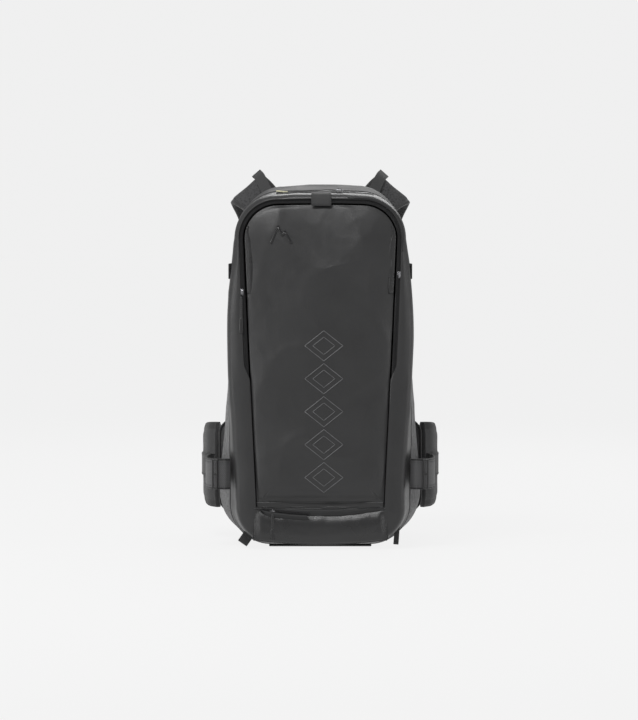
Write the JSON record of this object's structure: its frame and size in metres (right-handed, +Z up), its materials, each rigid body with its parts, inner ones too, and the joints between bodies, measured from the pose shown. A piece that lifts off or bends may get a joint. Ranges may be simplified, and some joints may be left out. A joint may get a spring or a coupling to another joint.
{
  "type": "ski backpack",
  "caption": "Charcoal ski backpack: zipped front panel that folds down, low pocket, side ski loops, padded shoulder straps, chest strap and open hip belt.",
  "frame": {"origin": "middle of the overall footprint, on the floor", "axes": "+Z up; the front panel faces -Y and the harness +Y; +X to the right of someone who looks at the front panel"},
  "size_m": [0.3786, 0.4186, 0.5905],
  "materials": {
    "coated_fabric": "satin coated charcoal",
    "heather_fabric": "heather grey weave",
    "spacer_mesh": "spacer mesh",
    "moulded_plastic": "moulded, satin black",
    "lining_fabric": "thin lining",
    "frame_plastic": "sheet",
    "stay_aluminium": "satin",
    "zip_tape": "coated zip tape",
    "zip_metal": "cast, satin",
    "webbing": "woven",
    "label_fabric": "woven",
    "harness_foam": "foam under fabric",
    "strap_panel": "smooth laminated"
  },
  "bodies": {
    "bag": {"front_frame": "coated_fabric", "lower_pocket": "coated_fabric", "side_gusset": "heather_fabric", "tool_sleeve": "heather_fabric", "back_panel": "spacer_mesh", "channel_mesh": "spacer_mesh", "base_panel": "moulded_plastic", "goggle_pocket": "lining_fabric", "bladder_sleeve": "lining_fabric", "frame_sheet": "frame_plastic", "frame_stay_left": "stay_aluminium", "frame_stay_right": "stay_aluminium", "main_zip_tape": "zip_tape", "pocket_zip_tape": "zip_tape", "goggle_zip_tape": "zip_tape", "top_patch": "webbing", "haul_loop": "webbing", "axe_loop": "webbing", "bottom_tab": "webbing", "sewn_tag": "label_fabric", "lumbar_pad": "harness_foam", "back_pad_left": "harness_foam", "shoulder_strap_left": "harness_foam", "ladder_lock_left": "moulded_plastic", "shoulder_webbing_left": "webbing", "load_lifter_left": "webbing", "hip_fin_left": "harness_foam", "ski_loop_anchor_left": "moulded_plastic", "upper_ski_strap_left": "webbing", "back_pad_right": "harness_foam", "shoulder_strap_right": "harness_foam", "ladder_lock_right": "moulded_plastic", "shoulder_webbing_right": "webbing", "load_lifter_right": "webbing", "hip_fin_right": "harness_foam", "ski_loop_anchor_right": "moulded_plastic", "upper_ski_strap_right": "webbing"},
    "front_flap": {"front_panel": "coated_fabric", "zip_welt_left": "coated_fabric", "zip_welt_right": "coated_fabric"},
    "main_slider_left": {"main_zip_slider": "zip_metal"},
    "main_pull": {"main_zip_pull": "webbing"},
    "main_slider_right": {"main_zip_slider_right": "zip_metal"},
    "pocket_slider": {"pocket_zip_slider": "zip_metal"},
    "pocket_pull": {"pocket_zip_pull": "webbing"},
    "goggle_slider": {"goggle_zip_slider": "zip_metal"},
    "chest_strap_left": {"sternum_clip_left": "moulded_plastic", "sternum_webbing_left": "webbing", "sternum_buckle_female": "moulded_plastic"},
    "chest_clip_right": {"sternum_clip_right": "moulded_plastic"},
    "chest_latch": {"sternum_webbing_right": "webbing", "sternum_buckle_male": "moulded_plastic"},
    "hip_belt_left": {"hip_wing_left": "harness_foam", "hip_webbing_left": "webbing", "hip_buckle_female": "moulded_plastic"},
    "hip_belt_right": {"hip_wing_right": "harness_foam", "hip_webbing_right": "webbing", "hip_buckle_male": "moulded_plastic"},
    "ski_strap_left": {"ski_loop_left": "strap_panel"},
    "ski_strap_right": {"ski_loop_right": "strap_panel"}
  },
  "joints": [
    {"name": "front_panel_fold", "type": "hinge", "parent": "bag", "child": "front_flap", "pos_m": [0, -0.19478, 0.0665], "axis": [1, 0, 0], "range_deg": [0, 90]},
    {"name": "main_zip_slide_left", "type": "slide", "parent": "bag", "child": "main_slider_left", "axis": [-0.0456, 0.0698, 0.9965], "range_m": [-0.1, 0]},
    {"name": "main_pull_swing", "type": "hinge", "parent": "main_slider_left", "child": "main_pull", "pos_m": [-0.12252, -0.17703, 0.3915], "axis": [-1, 0, 0], "range_deg": [0, 100]},
    {"name": "main_zip_slide_right", "type": "slide", "parent": "bag", "child": "main_slider_right", "axis": [0.045, 0.0698, 0.9965], "range_m": [-0.1, 0]},
    {"name": "pocket_zip_slide", "type": "slide", "parent": "bag", "child": "pocket_slider", "axis": [1, 0, 0], "range_m": [0, 0.14]},
    {"name": "pocket_pull_swing", "type": "hinge", "parent": "pocket_slider", "child": "pocket_pull", "pos_m": [-0.074, -0.205, 0.05625], "axis": [-1, 0, 0], "range_deg": [0, 60]},
    {"name": "goggle_zip_slide", "type": "slide", "parent": "bag", "child": "goggle_slider", "axis": [1, 0, 0], "range_m": [-0.04, 0.02]},
    {"name": "chest_strap_height", "type": "slide", "parent": "bag", "child": "chest_strap_left", "axis": [0, 0, 1], "range_m": [-0.025, 0.025]},
    {"name": "chest_strap_height_right", "type": "slide", "parent": "bag", "child": "chest_clip_right", "axis": [0, 0, 1], "range_m": [-0.025, 0.025]},
    {"name": "chest_buckle_release", "type": "slide", "parent": "chest_clip_right", "child": "chest_latch", "axis": [1, 0, 0], "range_m": [0, 0.016]},
    {"name": "hip_belt_swing_left", "type": "hinge", "parent": "bag", "child": "hip_belt_left", "pos_m": [-0.163, 0.00056, 0.115], "axis": [0, 0, 1], "range_deg": [-6, 25]},
    {"name": "hip_belt_swing_right", "type": "hinge", "parent": "bag", "child": "hip_belt_right", "pos_m": [0.163, 0.00056, 0.115], "axis": [0, 0, -1], "range_deg": [-6, 25]},
    {"name": "ski_strap_open_left", "type": "hinge", "parent": "bag", "child": "ski_strap_left", "pos_m": [-0.1405, -0.16944, 0.1155], "axis": [0, 0, 1], "range_deg": [0, 60]},
    {"name": "ski_strap_open_right", "type": "hinge", "parent": "bag", "child": "ski_strap_right", "pos_m": [0.1405, -0.16944, 0.1155], "axis": [0, 0, -1], "range_deg": [0, 60]}
  ],
  "couplings": [
    {"joint": "chest_strap_height_right", "follows": "chest_strap_height", "ratio": 1}
  ]
}
